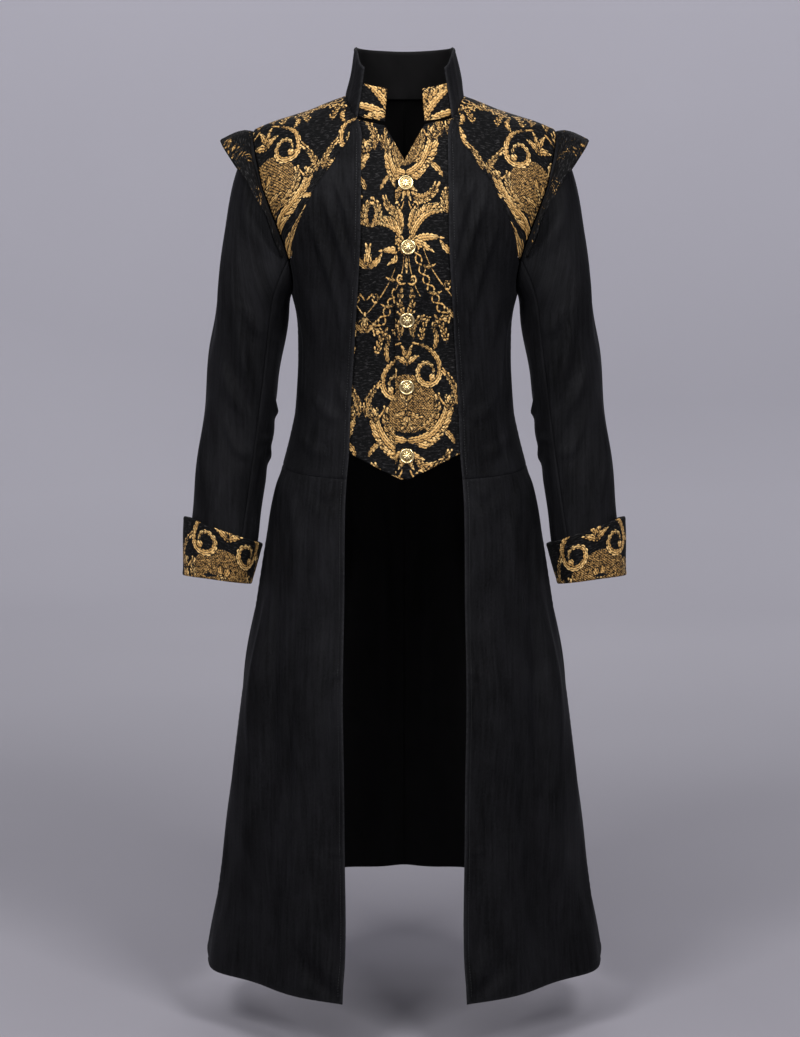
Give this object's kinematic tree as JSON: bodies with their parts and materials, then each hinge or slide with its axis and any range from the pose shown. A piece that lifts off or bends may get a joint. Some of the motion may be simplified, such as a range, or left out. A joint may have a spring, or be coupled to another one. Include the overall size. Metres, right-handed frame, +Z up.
{
  "type": "frock coat",
  "caption": "Long velvet stand-collar frock coat with winged brocade shoulders, sewn-in pointed brocade waistcoat front and turned-back cuffs.",
  "frame": {"origin": "middle of the neck opening, level with the points where the shoulder ridges meet the collar, where the wearer holds the coat up", "axes": "+Z up, the coat's front faces -Y, +X towards the wearer's left"},
  "size_m": [0.6322, 0.4577, 1.3157],
  "materials": {
    "velvet": "black short-pile velvet, soft vertical nap",
    "brocade": "black crepe-ground brocade with raised old-gold leaf scrolls",
    "button": "bright gold-coloured shank buttons with a raised rim"
  },
  "bodies": {
    "root": {"front_left": "velvet", "back_left": "velvet", "yoke_left": "brocade", "skirt_front_left": "velvet", "skirt_back_left": "velvet", "sleeve_upper_left": "velvet", "sleeve_under_left": "velvet", "wing_left": "brocade", "vest_left": "brocade", "vest_collar_left": "brocade", "cuff_left": "brocade", "front_right": "velvet", "back_right": "velvet", "yoke_right": "brocade", "skirt_front_right": "velvet", "skirt_back_right": "velvet", "sleeve_upper_right": "velvet", "sleeve_under_right": "velvet", "wing_right": "brocade", "vest_right": "brocade", "vest_collar_right": "brocade", "cuff_right": "brocade", "collar": "velvet", "button_1": "button", "button_2": "button", "button_3": "button", "button_4": "button", "button_5": "button"}
  },
  "joints": []
}
